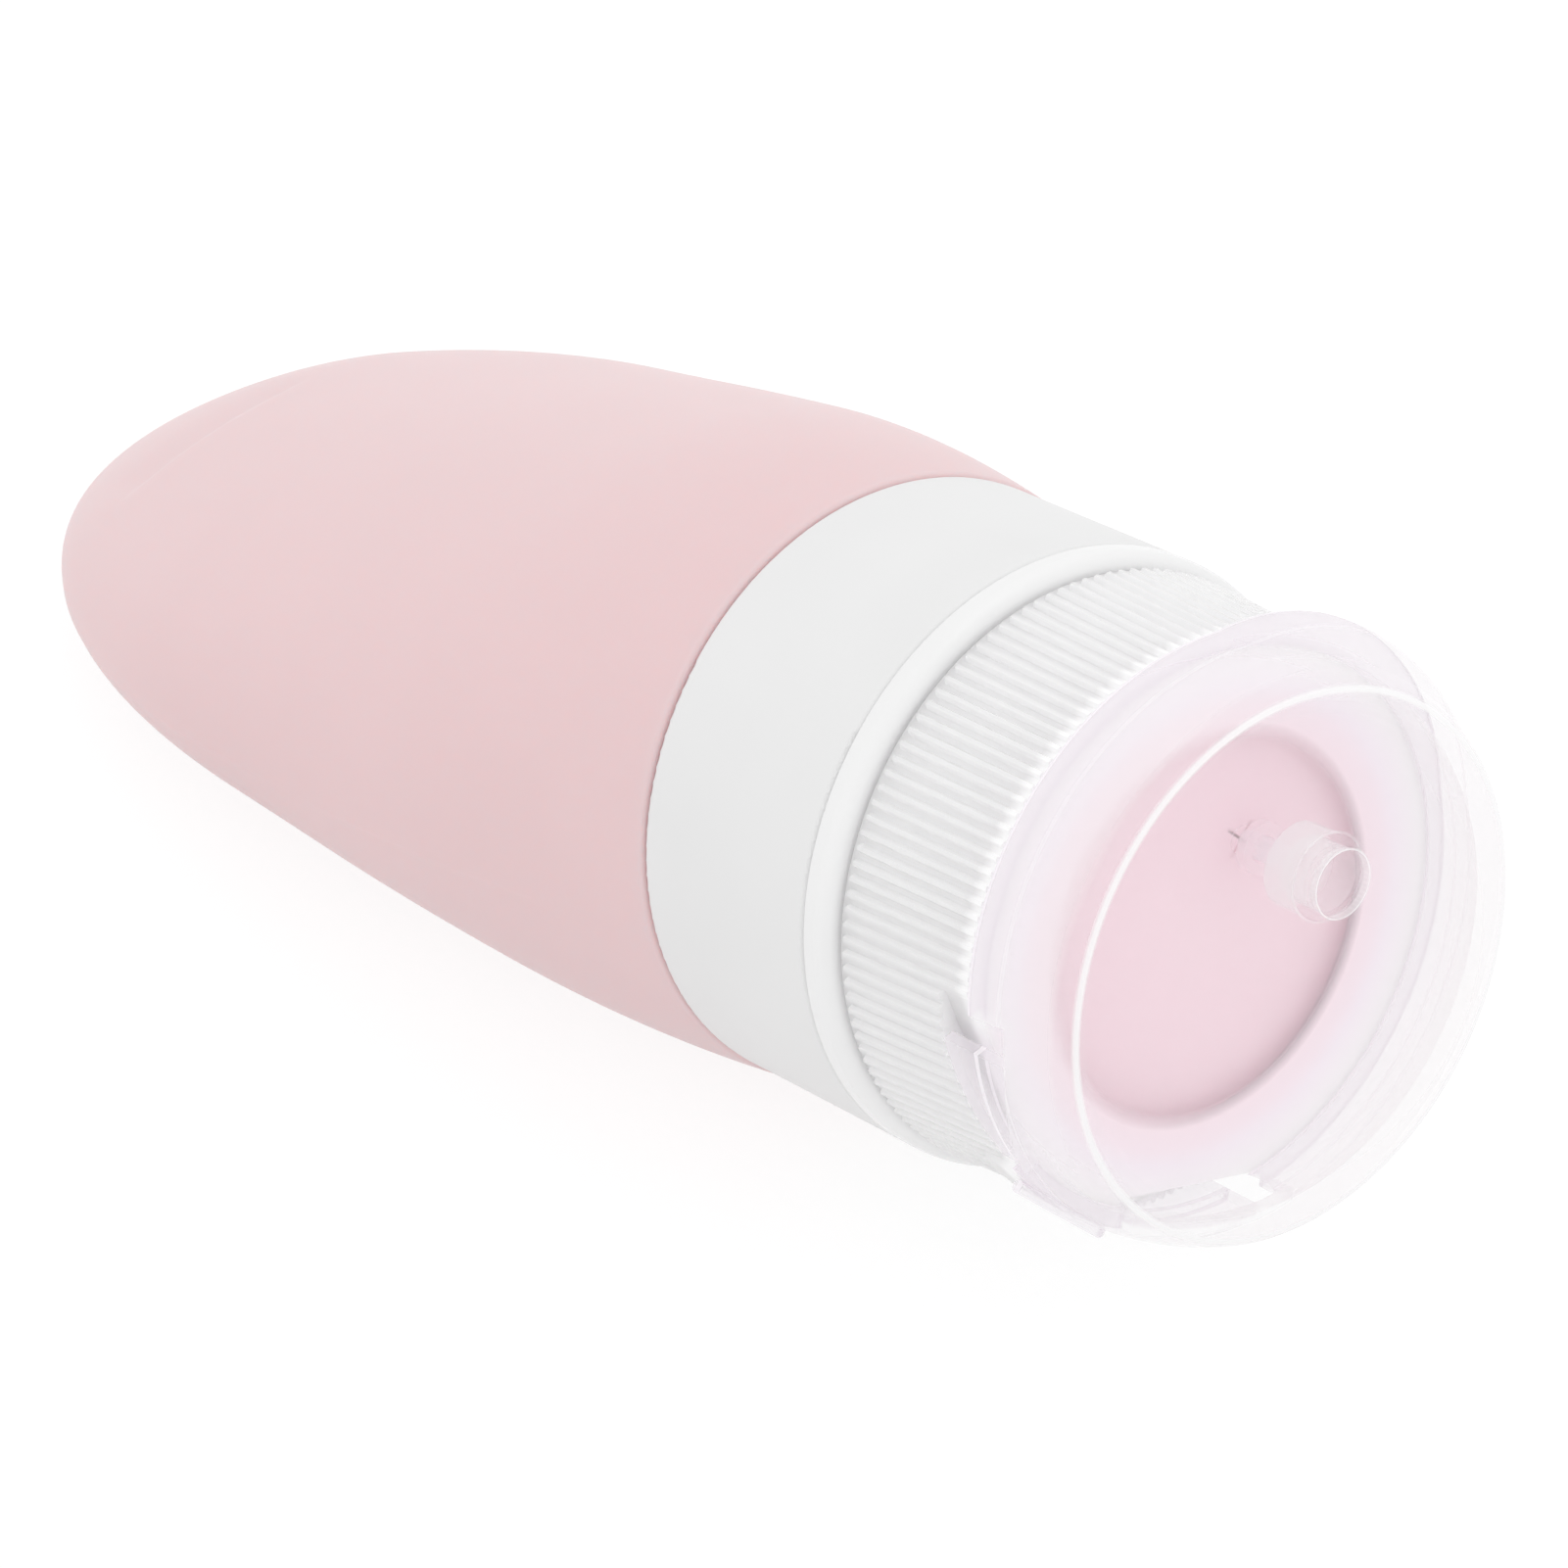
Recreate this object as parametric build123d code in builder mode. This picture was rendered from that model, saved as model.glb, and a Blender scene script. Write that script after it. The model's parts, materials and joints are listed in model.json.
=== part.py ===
from build123d import *
import math
import os

os.makedirs("parts", exist_ok=True)

# Travel squeeze bottle, lying on its flat side: +X runs towards the cap, +Z is up.
# All lengths are in millimetres. Places along the bottle's own axis are counted
# from the back edge of the collar, towards the cap.

# Neck and collar
neck_radius = 18.2
neck_wall = 1.6
neck_height = 11.4
neck_tail_length = 3.0
fit_gap = 0.1
sleeve_wall = 2.0
collar_length = 17.8
collar_wall = 2.2
collar_draft = 0.2
collar_edge_round = 0.4
collar_gap = 0.1
lip_thickness = 2.2
lip_round = 1.2

# Silicone body
neck_edge_step = 0.2
body_length = 99.7
side_swell = 4.2
side_swell_length = 41.5
side_narrowing = 0.35
side_arch_length = 46.8
top_swell = 3.4
top_swell_length = 23.2
tail_half_depth = 4.0
tail_arch_length = 17.3
rest_flat_depth = 0.4
body_wall = 2.2
cavity_end_wall = 4.4

# Screw cap
cap_gap = 0.4
thread_gap = 0.35
cap_wall = 2.9
cap_draft = 0.9
rib_height = 0.4
rib_count = 126
rib_margin = 0.6
deck_thickness = 1.3
deck_gap = 0.9
plug_ring_wall = 1.2
plug_ring_gap = 0.3
plug_ring_depth = 2.3
nozzle_offset = 6.4
nozzle_radius = 1.9
nozzle_height = 0.9
orifice_radius = 1.05

# Seal disc
seal_thickness = 1.4
seal_gap = 0.1
slit_length = 3.0
slit_width = 0.2

# Flip lid
seam_gap = 0.2
lid_height = 8.4
lid_draft = 1.9
lid_side_bulge = 0.55
lid_round = 1.1
lid_wall = 1.5
thumb_offset = 4.4
thumb_reach = 1.2
thumb_bulge = 0.5
boss_radius = 3.1
boss_length = 2.9
core_radius = 2.4
core_wall = 0.9
pin_radius = 0.9
pin_reach = 0.8

# Hinge and snap springs
hinge_turn = 126.5
web_radius = 0.45
web_gap = 0.1
web_length = 9.4
land_half_angle = 14.0
land_height = 3.4
spring_angle = 30.0
spring_half_span = 4.83
spring_wide_half = 3.2
spring_narrow_half = 1.15
spring_thickness = 0.8
spring_inset = 0.5
spring_gap = 0.25
window_reach = 3.1
window_half = 3.4
notch_wall = 0.45
notch_floor_gap = 1.3
overrun = 2.0

# Worked out from the sizes above
lip_back = collar_length + fit_gap
lip_front = lip_back + lip_thickness
cap_start = lip_front + cap_gap
neck_top = lip_front + neck_height
bore_radius = neck_radius - neck_wall
sleeve_bore = neck_radius + fit_gap
sleeve_radius = sleeve_bore + sleeve_wall
collar_bore = sleeve_radius + fit_gap
collar_front_radius = collar_bore + collar_wall
collar_back_radius = collar_front_radius + collar_draft
neck_edge_radius = collar_back_radius + neck_edge_step
deck_under = neck_top + deck_gap
deck_top = deck_under + deck_thickness
seam = deck_top + seam_gap / 2
lid_start = deck_top + seam_gap
lid_front = lid_start + lid_height
cap_bore = neck_radius + thread_gap
cap_root_radius = cap_bore + cap_wall
cap_top_root_radius = cap_root_radius - cap_draft
notch_floor = cap_bore + notch_wall
spring_outer = notch_floor + notch_floor_gap + spring_thickness
lid_seam_radius = spring_outer + spring_inset
lid_top_radius = lid_seam_radius - lid_draft
thumb_radius = lid_seam_radius + thumb_reach - thumb_offset


def arch_share(back, arch_length):
    """An elliptic arch over the tail's last stretch, from 1 down to 0 at its tip."""
    share = max(back - (body_length - arch_length), 0.0) / arch_length
    return math.sqrt(max(1 - share ** 2, 0.0))


def dip(back, swell, swell_length):
    """How far the body stands in from its full size, near the neck."""
    return swell * max(1 - back / swell_length, 0.0) ** 2


def half_width(back):
    full_width = neck_edge_radius + side_swell - side_narrowing * back / body_length
    return full_width * arch_share(back, side_arch_length) - dip(back, side_swell, side_swell_length)


def half_depth(back):
    neck_depth = neck_edge_radius + top_swell
    full_depth = neck_depth + (tail_half_depth - neck_depth) * back / body_length
    return full_depth * arch_share(back, tail_arch_length) - dip(back, top_swell, top_swell_length)


# The bottle rests on its shoulder and on its tail, on the line that touches both
rest_steps = 200
rest_tilt = 0.0
for rest_pass in range(4):
    def drop(back):
        return half_depth(back) * math.cos(rest_tilt) + back * math.sin(rest_tilt)

    shoulder_backs = [top_swell_length * step / rest_steps for step in range(rest_steps + 1)]
    tail_backs = [body_length - tail_arch_length * step / rest_steps for step in range(rest_steps + 1)]
    shoulder_rest = max(shoulder_backs, key=drop)
    tail_rest = max(tail_backs, key=drop)
    rest_tilt = math.atan((half_depth(shoulder_rest) - half_depth(tail_rest)) / (tail_rest - shoulder_rest))
tilt_cos = math.cos(rest_tilt)
tilt_sin = math.sin(rest_tilt)

axis_dir = Vector(tilt_cos, 0, tilt_sin)
up_dir = Vector(-tilt_sin, 0, tilt_cos)
front_reach = (lid_front - lid_round) * tilt_cos + (lid_top_radius - lid_round) * tilt_sin + lid_round
tail_reach = body_length * tilt_cos
origin = Vector(
    (tail_reach - front_reach) / 2,
    0,
    half_depth(shoulder_rest) * tilt_cos + shoulder_rest * tilt_sin - rest_flat_depth,
)
bottle = Plane(origin=origin, x_dir=up_dir, z_dir=axis_dir)
bottle_axis = Axis(origin, axis_dir)

# Frame of the cap: its first direction points at the hinge
turn = math.radians(hinge_turn)
hinge_dir = up_dir * math.cos(turn) + bottle.y_dir * math.sin(turn)
tangent_dir = axis_dir.cross(hinge_dir)
profile = Plane(origin=origin, x_dir=hinge_dir, z_dir=hinge_dir.cross(axis_dir))
cap = Plane(origin=origin, x_dir=hinge_dir, z_dir=axis_dir)
hinge_point = origin + hinge_dir * lid_seam_radius + axis_dir * seam


def side_plane(side, radius):
    """A plane square to the radius through one spring, at a given radius."""
    angle = math.radians(spring_angle) * side
    outward = hinge_dir * math.cos(angle) + tangent_dir * math.sin(angle)
    centre = origin + axis_dir * seam + outward * radius
    return Plane(origin=centre, x_dir=axis_dir.cross(outward), z_dir=outward)


def spring_outline(side, grow):
    """The spring's trapezium in its side plane, wide end away from the hinge."""
    reach = spring_half_span + grow
    return [
        (-side * reach, -spring_narrow_half - grow),
        (side * reach, -spring_wide_half - grow),
        (side * reach, spring_wide_half + grow),
        (-side * reach, spring_narrow_half + grow),
    ]


quarter_handle_share = 4 * (math.sqrt(2) - 1) / 3


def body_section(back, inset):
    """The four quarter curves of one elliptic section, square to the bottle's axis."""
    depth = half_depth(back) - inset
    width = half_width(back) - inset
    quarter = ((1, 0), (1, quarter_handle_share), (quarter_handle_share, 1), (0, 1))
    for sign_x, sign_y in ((1, 1), (-1, 1), (-1, -1), (1, -1)):
        points = [(sign_x * depth * x, sign_y * width * y) for x, y in quarter]
        Bezier(*points[:: sign_x * sign_y])


def section_sketch(back, inset):
    with BuildSketch(bottle.offset(-back)) as section:
        with BuildLine():
            body_section(back, inset)
        make_face()
    return section.sketch


front_shares = (0, 0.03, 0.07, 0.12, 0.18, 0.25, 0.33, 0.42, 0.53, 0.62, 0.7, 0.77, 0.83)
tail_shares = (0.88, 0.92, 0.95, 0.97, 0.984, 0.993, 0.9975, 0.9997)
cavity_end = body_length - cavity_end_wall

with BuildPart() as bottle_body:
    loft([section_sketch(body_length * share, 0) for share in front_shares + tail_shares])
    with BuildSketch(bottle):
        Circle(sleeve_radius)
    extrude(amount=collar_length)
    cavity_backs = [body_wall]
    for share in front_shares + tail_shares:
        if 2 * body_wall < body_length * share < cavity_end:
            cavity_backs.append(body_length * share)
    loft([section_sketch(back, body_wall) for back in cavity_backs], mode=Mode.SUBTRACT)
    with BuildSketch(bottle.offset(-body_wall - overrun)):
        Circle(sleeve_bore)
    extrude(amount=body_wall + collar_length + 2 * overrun, mode=Mode.SUBTRACT)
    split(bisect_by=Plane.XY, keep=Keep.TOP)
bottle_body.part.label = "bottle_body"
export_step(bottle_body.part, "parts/bottle_body.step")

with BuildPart() as neck_insert:
    with BuildSketch(profile):
        with BuildLine():
            Polyline(
                (bore_radius, -neck_tail_length),
                (neck_radius, -neck_tail_length),
                (neck_radius, lip_back),
                (collar_front_radius, lip_back),
                (collar_front_radius, lip_front),
                (neck_radius, lip_front),
                (neck_radius, neck_top),
                (bore_radius, neck_top),
                close=True,
            )
        make_face()
    revolve(axis=bottle_axis)
    lip_edges = neck_insert.edges().filter_by(GeomType.CIRCLE).group_by(SortBy.RADIUS)[-1]
    fillet(lip_edges.sort_by(bottle_axis)[-1], radius=lip_round)
neck_insert.part.label = "neck_insert"
export_step(neck_insert.part, "parts/neck_insert.step")

with BuildPart() as collar:
    with BuildSketch(profile):
        with BuildLine():
            Polyline(
                (collar_bore, collar_gap),
                (collar_back_radius, collar_gap),
                (collar_front_radius, collar_length),
                (collar_bore, collar_length),
                close=True,
            )
        make_face()
    revolve(axis=bottle_axis)
    outer_edges = collar.edges().filter_by(GeomType.CIRCLE).group_by(SortBy.RADIUS)
    fillet(outer_edges[-1] + outer_edges[-2], radius=collar_edge_round)
collar.part.label = "collar"
export_step(collar.part, "parts/collar.step")


rib_angle_shares = (-0.32, -0.14, 0.14, 0.32)
rib_height_shares = (0, 1, 1, 0)


def rib_ring(radius):
    """Zigzag outline of the ribs: flat crests on a round root."""
    points = []
    for rib in range(rib_count):
        for angle_share, height_share in zip(rib_angle_shares, rib_height_shares):
            angle = 2 * math.pi * (rib + angle_share) / rib_count
            reach = radius + rib_height * height_share
            points.append((reach * math.cos(angle), reach * math.sin(angle)))
    return points


def root_radius(height):
    """The cap's root radius at a place along the axis."""
    share = (height - cap_start) / (deck_top - cap_start)
    return cap_root_radius + (cap_top_root_radius - cap_root_radius) * share


rib_start = cap_start + rib_margin
rib_end = deck_top - rib_margin
land_width = 2 * lid_seam_radius * math.sin(math.radians(land_half_angle))


def off_centre_disc(height, radius):
    """A disc round the pouring hole, square to the axis, opposite the hinge."""
    with BuildSketch(cap.offset(height)) as disc:
        with Locations((-nozzle_offset, 0)):
            Circle(radius)
    return disc.sketch


def window_sketch(side):
    """Room for one snap spring and the open window beyond its wide end."""
    with BuildSketch(side_plane(side, notch_floor)) as window:
        with BuildLine():
            Polyline(*spring_outline(side, spring_gap), close=True)
        make_face()
        with Locations((side * (spring_half_span + window_reach / 2), 0)):
            Rectangle(window_reach, 2 * window_half)
    return window.sketch


spring_windows = [window_sketch(side) for side in (-1, 1)]
with BuildSketch(Plane(origin=hinge_point, x_dir=axis_dir, z_dir=tangent_dir)) as web_groove:
    Circle(web_radius + web_gap)

with BuildPart() as cap_base:
    for height in (rib_start, rib_end):
        with BuildSketch(cap.offset(height)):
            with BuildLine():
                Polyline(*rib_ring(root_radius(height)), close=True)
            make_face()
    loft(ruled=True)
    with BuildSketch(profile):
        with BuildLine():
            Polyline(
                (0, cap_start),
                (cap_root_radius, cap_start),
                (cap_top_root_radius, deck_top),
                (0, deck_top),
                close=True,
            )
        make_face()
    revolve(axis=bottle_axis)
    with BuildSketch(cap.offset(deck_top - land_height)) as land:
        Circle(lid_seam_radius)
        with Locations((lid_seam_radius, 0)):
            Rectangle(lid_seam_radius, land_width, mode=Mode.INTERSECT)
    extrude(amount=land_height)
    with BuildSketch(cap.offset(cap_start - overrun)):
        Circle(cap_bore)
    extrude(amount=deck_under - cap_start + overrun, mode=Mode.SUBTRACT)
    with BuildSketch(cap.offset(deck_under - plug_ring_depth)):
        Circle(bore_radius - plug_ring_gap)
        Circle(bore_radius - plug_ring_gap - plug_ring_wall, mode=Mode.SUBTRACT)
    extrude(amount=plug_ring_depth)
    extrude(off_centre_disc(deck_top, nozzle_radius), amount=nozzle_height)
    orifice_depth = deck_thickness + nozzle_height + 2 * overrun
    extrude(off_centre_disc(deck_under - overrun, orifice_radius), amount=orifice_depth, mode=Mode.SUBTRACT)
    for window in spring_windows:
        extrude(window, amount=lid_seam_radius, mode=Mode.SUBTRACT)
    extrude(web_groove.sketch, amount=land_width / 2 + overrun, both=True, mode=Mode.SUBTRACT)
cap_base.part.label = "cap_base"
export_step(cap_base.part, "parts/cap_base.step")

seal_radius = bore_radius - plug_ring_gap - plug_ring_wall - seal_gap
seal_top = deck_under - seal_gap
with BuildPart() as seal_disc:
    with BuildSketch(cap.offset(seal_top - seal_thickness)):
        Circle(seal_radius)
        with Locations((-nozzle_offset, 0)):
            Rectangle(slit_length, slit_width, mode=Mode.SUBTRACT)
            Rectangle(slit_width, slit_length, mode=Mode.SUBTRACT)
    extrude(amount=seal_thickness)
seal_disc.part.label = "seal_disc"
export_step(seal_disc.part, "parts/seal_disc.step")

side_middle = (
    (lid_seam_radius + lid_top_radius) / 2 + lid_side_bulge,
    (lid_start + lid_front) / 2,
)
thumb_top = lid_front - lid_round
thumb_top_radius = lid_top_radius - thumb_offset
thumb_middle = (
    (thumb_radius + thumb_top_radius) / 2 + lid_side_bulge + thumb_bulge,
    (lid_start + thumb_top) / 2,
)
thumb_origin = origin - hinge_dir * thumb_offset
thumb_axis = Axis(thumb_origin, axis_dir)
thumb_profile = Plane(origin=thumb_origin, x_dir=hinge_dir, z_dir=hinge_dir.cross(axis_dir))
with BuildPart() as flip_lid:
    with BuildSketch(profile):
        with BuildLine():
            Line((0, lid_start), (lid_seam_radius, lid_start))
            ThreePointArc((lid_seam_radius, lid_start), side_middle, (lid_top_radius, lid_front))
            Line((lid_top_radius, lid_front), (0, lid_front))
            Line((0, lid_front), (0, lid_start))
        make_face()
    revolve(axis=bottle_axis)
    with BuildSketch(thumb_profile):
        with BuildLine():
            Line((0, lid_start), (thumb_radius, lid_start))
            ThreePointArc((thumb_radius, lid_start), thumb_middle, (thumb_top_radius, thumb_top))
            Line((thumb_top_radius, thumb_top), (0, thumb_top))
            Line((0, thumb_top), (0, lid_start))
        make_face()
    revolve(axis=thumb_axis)
    front_edge = flip_lid.edges().filter_by(GeomType.CIRCLE).sort_by(bottle_axis)[-1]
    fillet(front_edge, radius=lid_round)
    with BuildSketch(profile):
        with BuildLine():
            inner_middle = (side_middle[0] - lid_wall, side_middle[1])
            Line((0, lid_start - overrun), (lid_seam_radius - lid_wall, lid_start - overrun))
            Line((lid_seam_radius - lid_wall, lid_start - overrun), (lid_seam_radius - lid_wall, lid_start))
            ThreePointArc(
                (lid_seam_radius - lid_wall, lid_start),
                inner_middle,
                (lid_top_radius - lid_wall, lid_front - lid_wall),
            )
            Line((lid_top_radius - lid_wall, lid_front - lid_wall), (0, lid_front - lid_wall))
            Line((0, lid_front - lid_wall), (0, lid_start - overrun))
        make_face()
    revolve(axis=bottle_axis, mode=Mode.SUBTRACT)
    boss_start = lid_front - lid_wall - boss_length
    pin_start = deck_top - pin_reach
    extrude(off_centre_disc(boss_start, boss_radius), amount=boss_length)
    extrude(off_centre_disc(pin_start, pin_radius), amount=lid_front - lid_wall - pin_start)
    core_depth = lid_front - boss_start - core_wall + overrun
    extrude(off_centre_disc(boss_start + core_wall, core_radius), amount=core_depth, mode=Mode.SUBTRACT)
    for window in spring_windows:
        extrude(window, amount=lid_seam_radius, mode=Mode.SUBTRACT)
    extrude(web_groove.sketch, amount=land_width / 2 + overrun, both=True, mode=Mode.SUBTRACT)
flip_lid.part.label = "flip_lid"
export_step(flip_lid.part, "parts/flip_lid.step")

with BuildPart() as hinge_web:
    with BuildSketch(Plane(origin=hinge_point, x_dir=axis_dir, z_dir=tangent_dir)):
        Circle(web_radius)
    extrude(amount=web_length / 2, both=True)
hinge_web.part.label = "hinge_web"
export_step(hinge_web.part, "parts/hinge_web.step")

for side, name in ((1, "hinge_spring_left"), (-1, "hinge_spring_right")):
    with BuildPart() as spring:
        with BuildSketch(cap.offset(seam - land_height)):
            Circle(spring_outer)
            Circle(spring_outer - spring_thickness, mode=Mode.SUBTRACT)
        extrude(amount=2 * land_height)
        with BuildSketch(side_plane(side, notch_floor)):
            with BuildLine():
                Polyline(*spring_outline(side, 0), close=True)
            make_face()
        extrude(amount=lid_seam_radius, mode=Mode.INTERSECT)
    spring.part.label = name
    export_step(spring.part, f"parts/{name}.step")

print(f"tilt {math.degrees(rest_tilt):.3f} deg, origin {origin}, axis {axis_dir}")
print(f"hinge point {hinge_point}, tangent {tangent_dir}, hinge dir {hinge_dir}")
print(f"seam {seam:.3f}, lid front {lid_front:.3f}, deck top {deck_top:.3f}, neck top {neck_top:.3f}")
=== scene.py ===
import json
import math

import bmesh
import bpy
from mathutils import Matrix, Vector
from mathutils.geometry import tessellate_polygon


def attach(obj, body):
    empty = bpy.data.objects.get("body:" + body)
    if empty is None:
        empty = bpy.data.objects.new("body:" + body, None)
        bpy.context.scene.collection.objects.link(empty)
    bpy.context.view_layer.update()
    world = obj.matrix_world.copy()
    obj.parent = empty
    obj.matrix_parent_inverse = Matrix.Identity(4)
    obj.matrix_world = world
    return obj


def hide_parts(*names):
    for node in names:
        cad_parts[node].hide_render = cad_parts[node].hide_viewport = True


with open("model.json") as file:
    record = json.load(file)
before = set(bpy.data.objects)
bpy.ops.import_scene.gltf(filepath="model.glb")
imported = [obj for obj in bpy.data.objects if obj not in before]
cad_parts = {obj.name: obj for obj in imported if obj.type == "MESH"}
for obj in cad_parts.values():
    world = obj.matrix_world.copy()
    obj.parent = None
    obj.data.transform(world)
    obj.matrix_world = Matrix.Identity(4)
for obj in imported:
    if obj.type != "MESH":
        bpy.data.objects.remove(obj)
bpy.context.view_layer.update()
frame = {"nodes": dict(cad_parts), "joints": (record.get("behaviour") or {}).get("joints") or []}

MM = 0.001

# The bottle's own frame, read from the joints: places along its axis are counted
# from the back edge of the collar, towards the cap, and "back" runs the other way
joints = {joint["name"]: joint for joint in frame["joints"]}
axis_dir = Vector(joints["cap_turn"]["axis"]).normalized()
origin = Vector(joints["cap_turn"]["pos_m"])
tangent_dir = Vector(joints["lid_flip"]["axis"]).normalized()
hinge_dir = tangent_dir.cross(axis_dir).normalized()
side_dir = Vector((0, 1, 0))
up_dir = axis_dir.cross(side_dir).normalized()

# Sizes of the CAD solids that the meshes and materials below follow, in millimetres
neck_edge_radius = 23.0
body_length = 99.7
side_swell = 4.2
side_swell_length = 41.5
side_narrowing = 0.35
side_arch_length = 46.8
top_swell = 3.4
top_swell_length = 23.2
tail_half_depth = 4.0
tail_arch_length = 17.3
body_wall = 2.2
cavity_end_wall = 4.4
collar_length = 17.8
sleeve_bore = 18.3
sleeve_radius = 20.3
seal_radius = 15.0
seal_top = 32.3
seal_thickness = 1.4
seal_round = 0.3
nozzle_offset = 6.4
slit_length = 3.0
slit_width = 0.2
deck_under = 32.4
deck_top = 33.7
cap_bore = 18.55


def in_bottle(along, side, up):
    """A place in the bottle's own frame, in millimetres, as a point of the model."""
    return origin + (axis_dir * along + side_dir * side + up_dir * up) * MM


def link(obj):
    bpy.context.scene.collection.objects.link(obj)
    return obj


def mesh_object(name, verts, faces, sharp_degrees=35.0):
    mesh = bpy.data.meshes.new(name)
    mesh.from_pydata(verts, [], faces)
    tidy = bmesh.new()
    tidy.from_mesh(mesh)
    bmesh.ops.recalc_face_normals(tidy, faces=tidy.faces)
    tidy.to_mesh(mesh)
    tidy.free()
    mesh.shade_smooth()
    mesh.set_sharp_from_angle(angle=math.radians(sharp_degrees))
    return link(bpy.data.objects.new(name, mesh))


# Silicone body

# A faint crease runs across the upper face, where it turns over into the tail
crease_back = 82.6
crease_depth = 0.40
crease_front_width = 0.7
crease_tail_width = 4.2
crease_side_middle = -3.8
crease_side_half = 10.5
crease_fade = 4.5

# A faint mould line follows each side
mould_line_height = 0.05
mould_line_width = 0.45
mould_line_start = 6.0
mould_line_end = 92.0
mould_line_fade = 8.0

# The body's edge against the collar is rounded by this radius
edge_round = 0.3

# How finely the body is meshed: rings are closer at the tip, the crease and the shoulder
around_count = 160
tip_steps = 26
tail_start = 88.0
tail_steps = 26
crease_start = 79.0
middle_steps = 44
shoulder_start = 14.0
shoulder_steps = 16
hollow_steps = 40
hollow_tail_steps = 8
line_offsets_degrees = (-2.0, -1.4, -0.9, -0.45, 0.45, 0.9, 1.4, 2.0)
edge_round_shares = (0.0, 0.25, 0.5, 0.75, 1.0)


def smooth_share(value):
    """A soft step from nought to one, as the value goes from 0 to 1."""
    share = min(max(value, 0.0), 1.0)
    return share * share * (3 - 2 * share)


def arch_share(back, arch_length):
    """An elliptic arch over the tail's last stretch, from 1 down to 0 at its tip."""
    share = max(back - (body_length - arch_length), 0.0) / arch_length
    return math.sqrt(max(1 - share ** 2, 0.0))


def dip(back, swell, swell_length):
    """How far the shoulder draws in towards the collar, from the full swell at its edge."""
    return swell * max(1 - back / swell_length, 0.0) ** 2


def half_width(back):
    """Half the body's width at a place back from the collar, with its tail's arch."""
    full_width = neck_edge_radius + side_swell - side_narrowing * back / body_length
    return full_width * arch_share(back, side_arch_length) - dip(back, side_swell, side_swell_length)


def half_depth(back):
    """Half the body's depth at a place back from the collar, thinning out to the tail."""
    neck_depth = neck_edge_radius + top_swell
    full_depth = neck_depth + (tail_half_depth - neck_depth) * back / body_length
    return full_depth * arch_share(back, tail_arch_length) - dip(back, top_swell, top_swell_length)


def around_angles():
    """Even steps round the section, with closer ones at the two mould lines."""
    angles = [2 * math.pi * step / around_count for step in range(around_count)]
    for middle in (math.pi / 2, 3 * math.pi / 2):
        angles += [middle + math.radians(offset) for offset in line_offsets_degrees]
    return sorted(angles)


body_angles = around_angles()

# The widest half of the body, tried at each tenth of a millimetre. Its mould lines don't pass it.
widest = max(half_width(tenth / 10) for tenth in range(int(10 * body_length)))


def crease(back, side, up):
    """How deep the crease is at a place on the upper face."""
    if up < 0:
        return 0.0
    width = crease_front_width if back < crease_back else crease_tail_width
    across = math.exp(-((back - crease_back) / width) ** 2)
    reach = crease_side_half - abs(side - crease_side_middle)
    return crease_depth * across * smooth_share(reach / crease_fade)


def mould_line(back, angle, width):
    """How far the mould line stands out at an angle round the section, highest at the widest place."""
    off_side = abs(abs(math.sin(angle)) - 1) ** 0.5 * math.sqrt(2) * width
    fade = smooth_share((back - mould_line_start) / mould_line_fade)
    fade *= smooth_share((mould_line_end - back) / mould_line_fade)
    return mould_line_height * fade * math.exp(-(off_side / mould_line_width) ** 2)


def body_ring(back, inset, with_relief):
    """One elliptic section of the body, inside its full size by an inset."""
    width = half_width(back) - inset
    depth = half_depth(back) - inset
    ring = []
    for angle in body_angles:
        side = width * math.sin(angle)
        up = depth * math.cos(angle)
        if with_relief:
            side += math.copysign(mould_line(back, angle, width), side)
            side = max(min(side, widest), -widest)
            up -= crease(back, side, up)
        point = in_bottle(-back, side, up)
        point.z = max(point.z, 0.0)
        ring.append(point)
    return ring


def round_ring(along, radius):
    return [in_bottle(along, radius * math.sin(angle), radius * math.cos(angle)) for angle in body_angles]


def spread(start, end, count):
    return [start + (end - start) * step / count for step in range(count)]


def bridge(rings, first_pole, last_pole):
    """A closed skin through the rings, with a fan of triangles at each pole."""
    verts = [first_pole] + [point for ring in rings for point in ring] + [last_pole]
    count = len(body_angles)
    faces = [(0, 1 + step, 1 + (step + 1) % count) for step in range(count)]
    for row in range(len(rings) - 1):
        start = 1 + row * count
        for step in range(count):
            after = (step + 1) % count
            faces.append((start + step, start + count + step, start + count + after, start + after))
    last = len(verts) - 1
    start = last - count
    faces += [(start + step, last, start + (step + 1) % count) for step in range(count)]
    return verts, faces


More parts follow.
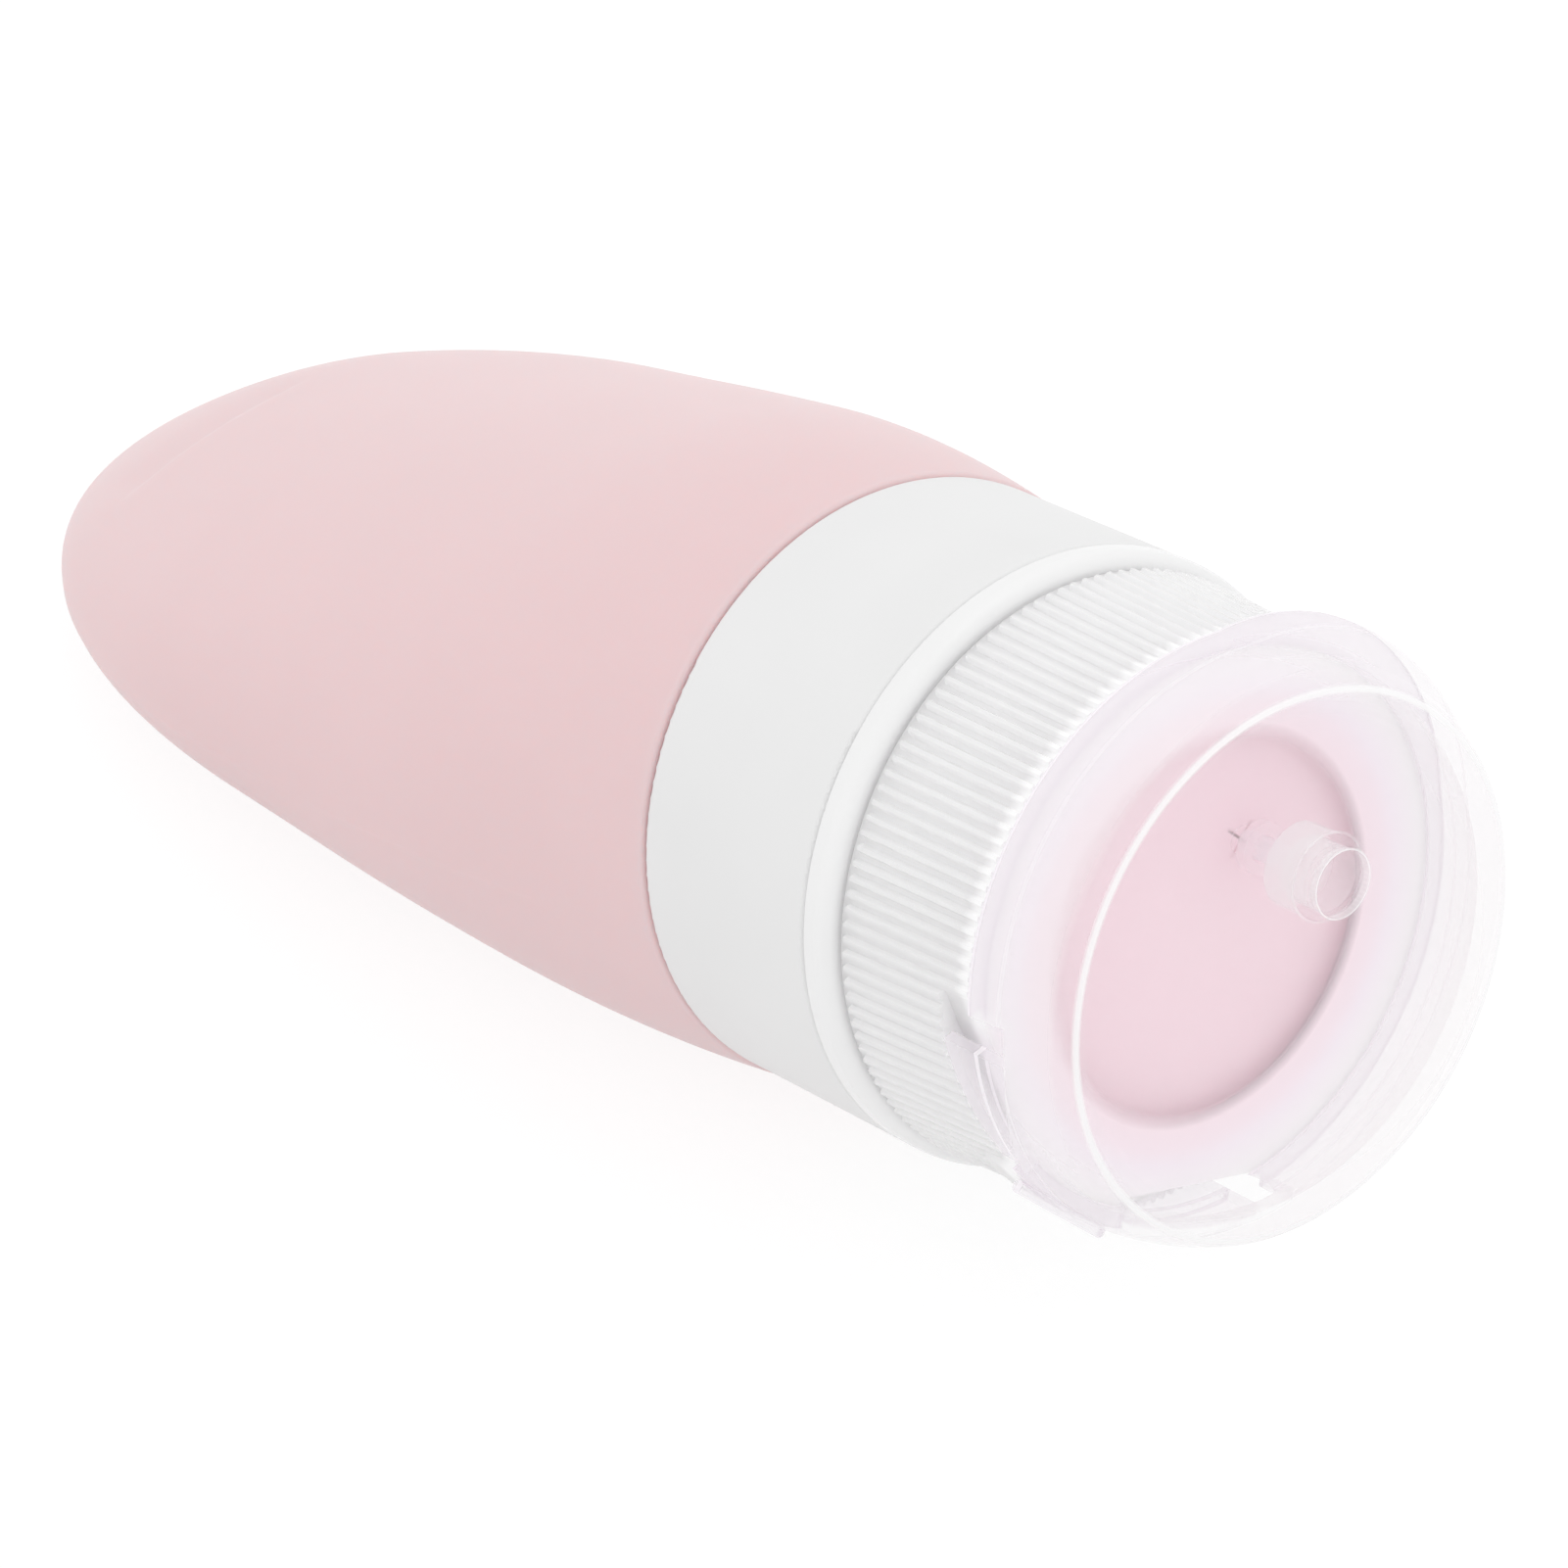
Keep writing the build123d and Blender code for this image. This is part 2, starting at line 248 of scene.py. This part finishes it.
def build_body():
    """The outer skin from the tail's tip to the collar, the sleeve in the collar, and the hollow."""
    swings = [math.pi / 2 * step / tip_steps for step in range(1, tip_steps)]
    outer_backs = [body_length - (body_length - tail_start) * (1 - math.cos(swing)) for swing in swings]
    outer_backs += spread(tail_start, crease_start, tail_steps)
    outer_backs += spread(crease_start, shoulder_start, middle_steps)
    outer_backs += spread(shoulder_start, edge_round, shoulder_steps)
    rings = [body_ring(back, 0.0, True) for back in outer_backs]
    for share in edge_round_shares:
        swing = math.pi / 2 * share
        inset = edge_round * (1 - math.cos(swing))
        rings.append(body_ring(edge_round * (1 - math.sin(swing)), inset, False))
    rings.append(round_ring(0.0, sleeve_radius))
    rings.append(round_ring(collar_length, sleeve_radius))
    rings.append(round_ring(collar_length, sleeve_bore))
    rings.append(round_ring(-body_wall, sleeve_bore))
    cavity_end = body_length - cavity_end_wall
    inner_backs = spread(body_wall, tail_start, hollow_steps)
    inner_backs += spread(tail_start, cavity_end, hollow_tail_steps) + [cavity_end]
    rings += [body_ring(back, body_wall, False) for back in inner_backs]
    return bridge(rings, in_bottle(-body_length, 0, 0), in_bottle(-cavity_end, 0, 0))


body = mesh_object("silicone_body", *build_body())
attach(body, "bottle")
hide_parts("bottle_body")


# Seal disc, with its cross slit under the pouring hole

seal_around_count = 96
seal_round_shares = (0.0, 0.33, 0.67, 1.0)


def in_cap(along, across, outward):
    """A place in the cap's frame: outward points at the hinge, across runs along the hinge's line."""
    return origin + (axis_dir * along + tangent_dir * across + hinge_dir * outward) * MM


def cross_outline():
    """The twelve corners of the cross slit, round the pouring hole."""
    long_half = slit_length / 2
    thin_half = slit_width / 2
    quarter = [(long_half, -thin_half), (long_half, thin_half), (thin_half, thin_half)]
    corners = []
    for turn in range(4):
        for across, outward in quarter:
            for _ in range(turn):
                across, outward = -outward, across
            corners.append((across, outward - nozzle_offset))
    return corners


def build_seal():
    """A round disc with rounded edges and the cross slit cut through it."""
    count = seal_around_count
    under = seal_top - seal_thickness
    profile = []
    for share in seal_round_shares:
        swing = math.pi / 2 * share
        radius = seal_radius - seal_round * (1 - math.sin(swing))
        profile.append((under + seal_round * (1 - math.cos(swing)), radius))
    profile += [(under + seal_top - along, radius) for along, radius in profile[::-1]]
    turns = [2 * math.pi * step / count for step in range(count)]
    circle = [(math.cos(turn), math.sin(turn)) for turn in turns]
    verts = []
    for along, radius in profile:
        verts += [in_cap(along, radius * x, radius * y) for x, y in circle]
    hole = cross_outline()
    hole_under = len(verts)
    verts += [in_cap(under, x, y) for x, y in hole]
    hole_top = len(verts)
    verts += [in_cap(seal_top, x, y) for x, y in hole]
    faces = []
    for row in range(len(profile) - 1):
        for step in range(count):
            after = (step + 1) % count
            start = row * count
            faces.append((start + step, start + after, start + count + after, start + count + step))
    for step in range(len(hole)):
        after = (step + 1) % len(hole)
        faces.append((hole_under + step, hole_under + after, hole_top + after, hole_top + step))
    face_radius = seal_radius - seal_round
    outline = [Vector((face_radius * x, face_radius * y, 0)) for x, y in circle]
    cut = [Vector((x, y, 0)) for x, y in hole]
    top_row = (len(profile) - 1) * count
    for triangle in tessellate_polygon([outline, cut]):
        faces.append(tuple(top_row + i if i < count else hole_top + i - count for i in triangle))
        faces.append(tuple(i if i < count else hole_under + i - count for i in triangle[::-1]))
    return verts, faces


seal = mesh_object("seal_pad", *build_seal())
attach(seal, "cap_seal")
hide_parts("seal_disc")


# Materials

# The stretch of a noise over which one near colour turns into the other
mottle_low = 0.35
mottle_high = 0.65

# Moulded plastic bends light by this much
plastic_ior = 1.46


def new_material(name):
    material = bpy.data.materials.new(name)
    material.use_nodes = True
    nodes = material.node_tree.nodes
    shader = nodes["Principled BSDF"]
    return material, nodes, material.node_tree.links, shader


def add_noise(nodes, links, scale, detail=2.0):
    place = nodes.new("ShaderNodeTexCoord")
    noise = nodes.new("ShaderNodeTexNoise")
    noise.inputs["Scale"].default_value = scale
    noise.inputs["Detail"].default_value = detail
    links.new(place.outputs["Object"], noise.inputs["Vector"])
    return noise


def add_grain(nodes, links, shader, scale, strength, depth, detail=2.0):
    """A fine grain over the surface, with its depth in millimetres."""
    noise = add_noise(nodes, links, scale, detail)
    bump = nodes.new("ShaderNodeBump")
    bump.inputs["Strength"].default_value = strength
    bump.inputs["Distance"].default_value = depth * MM
    links.new(noise.outputs["Fac"], bump.inputs["Height"])
    links.new(bump.outputs["Normal"], shader.inputs["Normal"])


def add_ramp(nodes, links, value, stops):
    """A colour ramp over a value, from (place, colour) stops."""
    ramp = nodes.new("ShaderNodeValToRGB")
    elements = ramp.color_ramp.elements
    while len(elements) < len(stops):
        elements.new(0.5)
    for element, (place, colour) in zip(elements, stops):
        element.position = place
        element.color = (*colour, 1)
    links.new(value, ramp.inputs["Fac"])
    return ramp.outputs["Color"]


def mottled(nodes, links, colours, scale):
    """A soft, cloudy blend between two near colours."""
    noise = add_noise(nodes, links, scale)
    stops = list(zip((mottle_low, mottle_high), colours))
    return add_ramp(nodes, links, noise.outputs["Fac"], stops)


def vector_math(nodes, links, operation, socket, vector=None):
    node = nodes.new("ShaderNodeVectorMath")
    node.operation = operation
    links.new(socket, node.inputs[0])
    if vector is not None:
        node.inputs[1].default_value = vector
    return node


def map_range(nodes, links, value, low, high, to_low=0.0, to_high=1.0):
    """A value carried from one stretch to another, and held at its ends."""
    node = nodes.new("ShaderNodeMapRange")
    node.inputs["From Min"].default_value = low
    node.inputs["From Max"].default_value = high
    node.inputs["To Min"].default_value = to_low
    node.inputs["To Max"].default_value = to_high
    links.new(value, node.inputs["Value"])
    return node.outputs["Result"]


def math_node(nodes, links, operation, first, second=0.0):
    node = nodes.new("ShaderNodeMath")
    node.operation = operation
    links.new(first, node.inputs[0])
    if isinstance(second, float):
        node.inputs[1].default_value = second
    else:
        links.new(second, node.inputs[1])
    return node.outputs["Value"]


def band(nodes, links, value, centre, half, soft):
    """One in a band round a value in millimetres, fading to nought over a soft edge."""
    apart = math_node(nodes, links, "SUBTRACT", value, centre * MM)
    apart = math_node(nodes, links, "ABSOLUTE", apart)
    return map_range(nodes, links, apart, (half + soft) * MM, half * MM)


def axis_places(nodes, links, start):
    """Sockets for the place along an axis through start and the distance from it, in metres."""
    place = nodes.new("ShaderNodeTexCoord")
    from_origin = vector_math(nodes, links, "SUBTRACT", place.outputs["Object"], start)
    along = vector_math(nodes, links, "DOT_PRODUCT", from_origin.outputs["Vector"], axis_dir)
    aside = vector_math(nodes, links, "CROSS_PRODUCT", from_origin.outputs["Vector"], axis_dir)
    length = vector_math(nodes, links, "LENGTH", aside.outputs["Vector"])
    return along.outputs["Value"], length.outputs["Value"]


def silicone_material(name, colours, glow_through):
    """Soft satin rubber with a powdery sheen, more or less translucent."""
    material, nodes, links, shader = new_material(name)
    links.new(mottled(nodes, links, colours, scale=45.0), shader.inputs["Base Color"])
    shader.inputs["Roughness"].default_value = 0.55
    shader.inputs["Subsurface Weight"].default_value = glow_through
    shader.inputs["Subsurface Radius"].default_value = (1.0, 0.55, 0.5)
    shader.inputs["Subsurface Scale"].default_value = 3.5 * MM
    shader.inputs["Specular IOR Level"].default_value = 0.3
    shader.inputs["Sheen Weight"].default_value = 0.25
    shader.inputs["Sheen Roughness"].default_value = 0.4
    add_grain(nodes, links, shader, scale=2600.0, strength=0.08, depth=0.05, detail=1.0)
    return material


def white_plastic_material(name, colours, roughness, grain_strength):
    """Solid moulded plastic with a fine grain."""
    material, nodes, links, shader = new_material(name)
    links.new(mottled(nodes, links, colours, scale=60.0), shader.inputs["Base Color"])
    shader.inputs["Roughness"].default_value = roughness
    shader.inputs["Subsurface Weight"].default_value = 0.15
    shader.inputs["Subsurface Radius"].default_value = (1.0, 1.0, 1.0)
    shader.inputs["Subsurface Scale"].default_value = 1.0 * MM
    add_grain(nodes, links, shader, scale=1800.0, strength=grain_strength, depth=0.03)
    return material


def let_lamps_through(nodes, links, shader):
    """Lamps shine through clear plastic: their rays meet it as plain transparent."""
    path = nodes.new("ShaderNodeLightPath")
    clear = nodes.new("ShaderNodeBsdfTransparent")
    clear.inputs["Color"].default_value = (1, 1, 1, 1)
    mix = nodes.new("ShaderNodeMixShader")
    links.new(path.outputs["Is Shadow Ray"], mix.inputs["Fac"])
    links.new(shader.outputs["BSDF"], mix.inputs[1])
    links.new(clear.outputs["BSDF"], mix.inputs[2])
    links.new(mix.outputs["Shader"], nodes["Material Output"].inputs["Surface"])


def edge_share(nodes, links, face_on, edge_on, blend):
    """A value for the surface seen face on, and another where it is seen edge on."""
    weight = nodes.new("ShaderNodeLayerWeight")
    weight.inputs["Blend"].default_value = blend
    return map_range(nodes, links, weight.outputs["Facing"], 0.0, 1.0, face_on, edge_on)


# How milky the clear lid is, seen face on and seen edge on, and how early the edge's haze sets in
lid_haze = 0.05
lid_edge_haze = 0.60
lid_edge_blend = 0.25

# Where the lid is milkier: places along the axis, distances from it and soft edges, in millimetres, each
# with its own haze. The thin bands at the seam, at the front rim, round the wall and at the boss's ring
# are painted highlights, milky white lines that stand in for gloss. The wall's haze ends at the front
# plate, and the boss's starts behind it.
lid_seam = 33.9
lid_front = 42.3
wall_haze = 0.28
wall_front = 40.6
wall_front_end = 41.4
wall_radius_start = 16.5
wall_radius = 17.5
# Painted highlight: a thin milky band along the lid's seam
seam_highlight_haze = 0.85
seam_half = 0.18
seam_soft = 0.12
# Painted highlight: a thin milky band round the front plate's rim
rim_highlight_haze = 0.9
rim_radius = 19.4
rim_half = 0.12
rim_soft = 0.25
front_half = 0.5
front_soft = 0.4
# Painted highlight: a thin milky ring round the wall, a little in front of the seam
wall_ring_highlight_haze = 0.45
wall_ring_place = 36.8
wall_ring_half = 0.10
wall_ring_soft = 0.25
boss_haze = 0.36
boss_radius = 3.25
boss_soft = 0.1
boss_start_depth = 0.9
boss_full_depth = 1.3
# Painted highlight: a thin milky ring at the edge of the hollow in the front plate over the boss
boss_ring_highlight_haze = 0.7
boss_ring_radius = 2.45
boss_ring_half = 0.04
boss_ring_soft = 0.12

# The lid's colours between two places along the axis: a lilac tint near the seam that fades out
tint_start = 33.0
tint_end = 43.0
lid_tints = [
    (0.0, (0.955, 0.91, 0.955)),
    (0.35, (0.96, 0.94, 0.96)),
    (0.6, (0.96, 0.957, 0.96)),
]


def clear_plastic_material(name):
    """Clear moulded plastic with a milky haze that thickens where it is seen edge on, and thin milky bands
    painted on as highlights.
    """
    material, nodes, links, shader = new_material(name)
    along, radius = axis_places(nodes, links, origin)
    boss_aside = axis_places(nodes, links, in_cap(0, 0, -nozzle_offset))[1]
    height = map_range(nodes, links, along, tint_start * MM, tint_end * MM)
    links.new(add_ramp(nodes, links, height, lid_tints), shader.inputs["Base Color"])
    shader.inputs["Roughness"].default_value = 0.07
    shader.inputs["IOR"].default_value = plastic_ior

    behind_front = map_range(nodes, links, along, wall_front_end * MM, wall_front * MM)
    outside = map_range(nodes, links, radius, wall_radius_start * MM, wall_radius * MM)
    wall = math_node(nodes, links, "MULTIPLY", behind_front, outside)
    # Painted highlight: the thin milky band along the seam
    seam_edge = band(nodes, links, along, lid_seam, seam_half, seam_soft)
    front = band(nodes, links, along, lid_front, front_half, front_soft)
    # Painted highlight: the thin milky band round the front plate's rim
    rim = band(nodes, links, radius, rim_radius, rim_half, rim_soft)
    rim = math_node(nodes, links, "MULTIPLY", front, rim)
    # Painted highlight: the thin milky ring round the wall
    wall_ring_highlight = band(nodes, links, along, wall_ring_place, wall_ring_half, wall_ring_soft)
    plate_inside = (lid_front - boss_start_depth) * MM
    plate_end = (lid_front - boss_full_depth) * MM
    behind_plate = map_range(nodes, links, along, plate_inside, plate_end)
    boss = band(nodes, links, boss_aside, 0.0, boss_radius, boss_soft)
    boss = math_node(nodes, links, "MULTIPLY", boss, behind_plate)
    # Painted highlight: the thin milky ring at the hollow's edge on the front plate
    boss_ring = band(nodes, links, boss_aside, boss_ring_radius, boss_ring_half, boss_ring_soft)
    boss_ring = math_node(nodes, links, "MULTIPLY", front, boss_ring)

    # The wall and the boss are milky plastic; the thin bands are painted highlights
    marks = [
        (wall, wall_haze),
        (seam_edge, seam_highlight_haze),
        (rim, rim_highlight_haze),
        (wall_ring_highlight, wall_ring_highlight_haze),
        (boss, boss_haze),
        (boss_ring, boss_ring_highlight_haze),
    ]
    haze = edge_share(nodes, links, lid_haze, lid_edge_haze, lid_edge_blend)
    for mark, most in marks:
        mark_haze = math_node(nodes, links, "MULTIPLY", mark, most)
        haze = math_node(nodes, links, "MAXIMUM", haze, mark_haze)
    links.new(haze, shader.inputs["Alpha"])
    add_grain(nodes, links, shader, scale=120.0, strength=0.02, depth=0.03)
    let_lamps_through(nodes, links, shader)
    return material


# How milky the cap is on its ribbed wall and on the deck's clear middle
cap_haze = 0.88
deck_clear_haze = 0.06

# The wall turns into the deck between these two distances, below and above the deck's underside
deck_margin_under = 0.6
deck_margin_inside = 0.2

# The deck turns clear between these two distances inside the seal's edge
clear_edge_gap = 0.4
clear_full_gap = 1.7

# The deck's underside, counted down from its top, is clear a little past the seal's edge too
underside_start = 0.4
underside_end = 0.8
underside_edge = 1.2
underside_full = 0.9

# The nozzle, which starts just over the deck's top, keeps only a share of that clearness
nozzle_clear_share = 0.7
nozzle_foot_start = 0.1
nozzle_foot_end = 0.2

# The cap's colours by their distance from the axis: pink over the seal and a lilac ring, painted glow that
# stands in for the seal's light coming through the deck, then white
tint_reach = 25.0
cap_tints_with_painted_glow = [
    (0.0, (0.97, 0.84, 0.89)),
    (seal_radius / tint_reach - 0.02, (0.97, 0.79, 0.86)),
    (seal_radius / tint_reach + 0.04, (0.97, 0.82, 0.895)),
    (seal_radius / tint_reach + 0.09, (0.965, 0.885, 0.96)),
    (cap_bore / tint_reach, (0.975, 0.935, 0.975)),
    (cap_bore / tint_reach + 0.06, (0.98, 0.98, 0.98)),
]


def clear_deck_share(nodes, links, along, radius, on_deck):
    """One where the deck is clear over the seal, and nought on the rest of the cap."""
    clear_edge = (seal_radius - clear_edge_gap) * MM
    clear_full = (seal_radius - clear_full_gap) * MM
    inside = map_range(nodes, links, radius, clear_edge, clear_full)
    under_top = (deck_top - underside_start) * MM
    at_underside = (deck_top - underside_end) * MM
    underside = map_range(nodes, links, along, under_top, at_underside)
    ring_edge = (seal_radius + underside_edge) * MM
    ring_full = (seal_radius + underside_full) * MM
    over_seal = map_range(nodes, links, radius, ring_edge, ring_full)
    underside = math_node(nodes, links, "MULTIPLY", underside, over_seal)
    inside = math_node(nodes, links, "MAXIMUM", inside, underside)
    foot_end = (deck_top + nozzle_foot_end) * MM
    foot_start = (deck_top + nozzle_foot_start) * MM
    below_nozzle = map_range(nodes, links, along, foot_end, foot_start, nozzle_clear_share, 1.0)
    clear = math_node(nodes, links, "MULTIPLY", on_deck, inside)
    return math_node(nodes, links, "MULTIPLY", clear, below_nozzle)


def cap_material(name):
    """Frosted ribbed wall, and a clearer deck that shows the pink pad under it, with the pad's glow also
    painted into the deck's colour as pink and lilac.
    """
    material, nodes, links, shader = new_material(name)
    along, radius = axis_places(nodes, links, origin)
    deck_start = (deck_under - deck_margin_under) * MM
    deck_full = (deck_under + deck_margin_inside) * MM
    on_deck = map_range(nodes, links, along, deck_start, deck_full)
    clear = clear_deck_share(nodes, links, along, radius, on_deck)
    # Painted glow: pink and lilac by distance from the axis, where the seal's light comes through the deck
    share = map_range(nodes, links, radius, 0.0, tint_reach * MM)
    links.new(add_ramp(nodes, links, share, cap_tints_with_painted_glow), shader.inputs["Base Color"])
    full = map_range(nodes, links, on_deck, 0, 1, cap_haze, 1.0)
    cleared = map_range(nodes, links, clear, 0, 1, 1.0, deck_clear_haze)
    links.new(math_node(nodes, links, "MULTIPLY", full, cleared), shader.inputs["Alpha"])
    shader.inputs["Roughness"].default_value = 0.35
    shader.inputs["IOR"].default_value = plastic_ior
    translucent = map_range(nodes, links, on_deck, 0, 1, 0.9, 0.0)
    links.new(translucent, shader.inputs["Subsurface Weight"])
    shader.inputs["Subsurface Radius"].default_value = (1.0, 1.0, 1.0)
    shader.inputs["Subsurface Scale"].default_value = 4.0 * MM
    add_grain(nodes, links, shader, scale=900.0, strength=0.03, depth=0.03)
    let_lamps_through(nodes, links, shader)
    return material


# Each pair of near colours is blended over the surface
body_pinks = (0.82, 0.60, 0.612), (0.806, 0.59, 0.602)
# The seal's pinks are lighter than the body's: painted glow, standing in for light coming through the
# translucent pad
seal_pinks_with_painted_glow = (0.99, 0.76, 0.83), (0.98, 0.75, 0.82)
collar_whites = (0.82, 0.82, 0.82), (0.80, 0.80, 0.80)
insert_whites = (0.88, 0.88, 0.88), (0.86, 0.86, 0.86)
silicone = silicone_material("silicone_pink", body_pinks, glow_through=0.5)
seal_pink = silicone_material("silicone_seal", seal_pinks_with_painted_glow, glow_through=0.0)
collar_white = white_plastic_material("plastic_collar", collar_whites, roughness=0.45, grain_strength=0.15)
insert_white = white_plastic_material("plastic_insert", insert_whites, roughness=0.25, grain_strength=0.03)
cap_frosted = cap_material("plastic_frosted")
lid_clear = clear_plastic_material("plastic_clear")


def dress(node, material):
    mesh = frame["nodes"][node].data
    mesh.materials.clear()
    mesh.materials.append(material)


body.data.materials.append(silicone)
seal.data.materials.append(seal_pink)
dress("collar", collar_white)
dress("neck_insert", insert_white)
dress("cap_base", cap_frosted)
for clear_node in ("flip_lid", "hinge_web", "hinge_spring_left", "hinge_spring_right"):
    dress(clear_node, lid_clear)


# Floor, world and light

# The floor lies just under the object. To lighting rays it is a plain white, and to the camera
# it glows nearly white, with a little diffuse in it that takes up the object's shadow.
floor_size = 4.0
floor_gap = 0.05 * MM
floor_colour = 0.9
floor_seen_diffuse = 0.20
floor_seen_glow = 0.84
key_place = (0.10, 0.25, 0.80)
key_target = (0.01, 0.0, 0.02)
key_size = 0.6
key_power = 0.4


def seen_rays(nodes, links):
    """One where the camera, a mirror or a lens looks, and nought for plain lighting rays."""
    path = nodes.new("ShaderNodeLightPath")
    rays = path.outputs
    seen = math_node(nodes, links, "MAXIMUM", rays["Is Camera Ray"], rays["Is Glossy Ray"])
    return math_node(nodes, links, "MAXIMUM", seen, rays["Is Transmission Ray"])


def grey(value):
    return (value, value, value, 1)


def floor_material():
    """A white floor that glows to the eye, so that it meets the white world, and keeps the shadow."""
    material = bpy.data.materials.new("floor_white")
    material.use_nodes = True
    nodes, links = material.node_tree.nodes, material.node_tree.links
    nodes.clear()
    output = nodes.new("ShaderNodeOutputMaterial")
    plain = nodes.new("ShaderNodeBsdfDiffuse")
    plain.inputs["Color"].default_value = grey(floor_colour)
    shadow = nodes.new("ShaderNodeBsdfDiffuse")
    shadow.inputs["Color"].default_value = grey(floor_seen_diffuse)
    glow = nodes.new("ShaderNodeEmission")
    glow.inputs["Strength"].default_value = floor_seen_glow
    seen = nodes.new("ShaderNodeAddShader")
    links.new(shadow.outputs[0], seen.inputs[0])
    links.new(glow.outputs[0], seen.inputs[1])
    choose = nodes.new("ShaderNodeMixShader")
    links.new(seen_rays(nodes, links), choose.inputs["Fac"])
    links.new(plain.outputs[0], choose.inputs[1])
    links.new(seen.outputs[0], choose.inputs[2])
    links.new(choose.outputs[0], output.inputs["Surface"])
    return material


floor_mesh = bpy.data.meshes.new("floor")
half = floor_size / 2
corners = [(-half, -half), (half, -half), (half, half), (-half, half)]
floor_mesh.from_pydata([(x, y, -floor_gap) for x, y in corners], [], [(0, 1, 2, 3)])
floor_mesh.materials.append(floor_material())
floor = link(bpy.data.objects.new("floor", floor_mesh))

world = bpy.data.worlds.new("studio")
bpy.context.scene.world = world
world.use_nodes = True
background = world.node_tree.nodes["Background"]
background.inputs["Color"].default_value = (1, 1, 1, 1)
background.inputs["Strength"].default_value = 1.0


def add_area_light(name, place, target, size, power):
    data = bpy.data.lights.new(name, "AREA")
    data.shape = "DISK"
    data.size = size
    data.energy = power
    lamp = link(bpy.data.objects.new(name, data))
    lamp.location = place
    lamp.rotation_mode = "QUATERNION"
    lamp.rotation_quaternion = (Vector(target) - Vector(place)).to_track_quat("-Z", "Y")


add_area_light("key", key_place, key_target, key_size, key_power)

# Camera, fitted to the photograph's ellipses in the bottle's own frame
camera_target = in_bottle(along=-3.65, side=-7.0, up=2.47)
camera_azimuth = math.radians(58.56)
camera_elevation = math.radians(31.22)
camera_roll = math.radians(14.66)
camera_distance = 387.5 * MM
camera_lens_mm = 123.67
camera_sensor_mm = 36.0

camera_data = bpy.data.cameras.new("camera")
camera_data.lens = camera_lens_mm
camera_data.sensor_width = camera_sensor_mm
camera_data.clip_start = 0.01
camera_data.clip_end = 20
camera = link(bpy.data.objects.new("camera", camera_data))
look_back = (
    axis_dir * (math.sin(camera_azimuth) * math.cos(camera_elevation))
    - side_dir * (math.cos(camera_azimuth) * math.cos(camera_elevation))
    + up_dir * math.sin(camera_elevation)
)
level = up_dir.cross(look_back).normalized()
upright = look_back.cross(level)
right = level * math.cos(camera_roll) - upright * math.sin(camera_roll)
top = look_back.cross(right)
eye = camera_target + look_back * camera_distance
camera.matrix_world = Matrix((
    (right.x, top.x, look_back.x, eye.x),
    (right.y, top.y, look_back.y, eye.y),
    (right.z, top.z, look_back.z, eye.z),
    (0, 0, 0, 1),
))
scene = bpy.context.scene
scene.camera = camera
scene.view_settings.view_transform = "Standard"

# The lid, its boss, the nozzle and the deck lie behind each other, so light needs many steps
scene.cycles.transparent_max_bounces = 64
scene.cycles.max_bounces = 16
scene.cycles.diffuse_bounces = 12
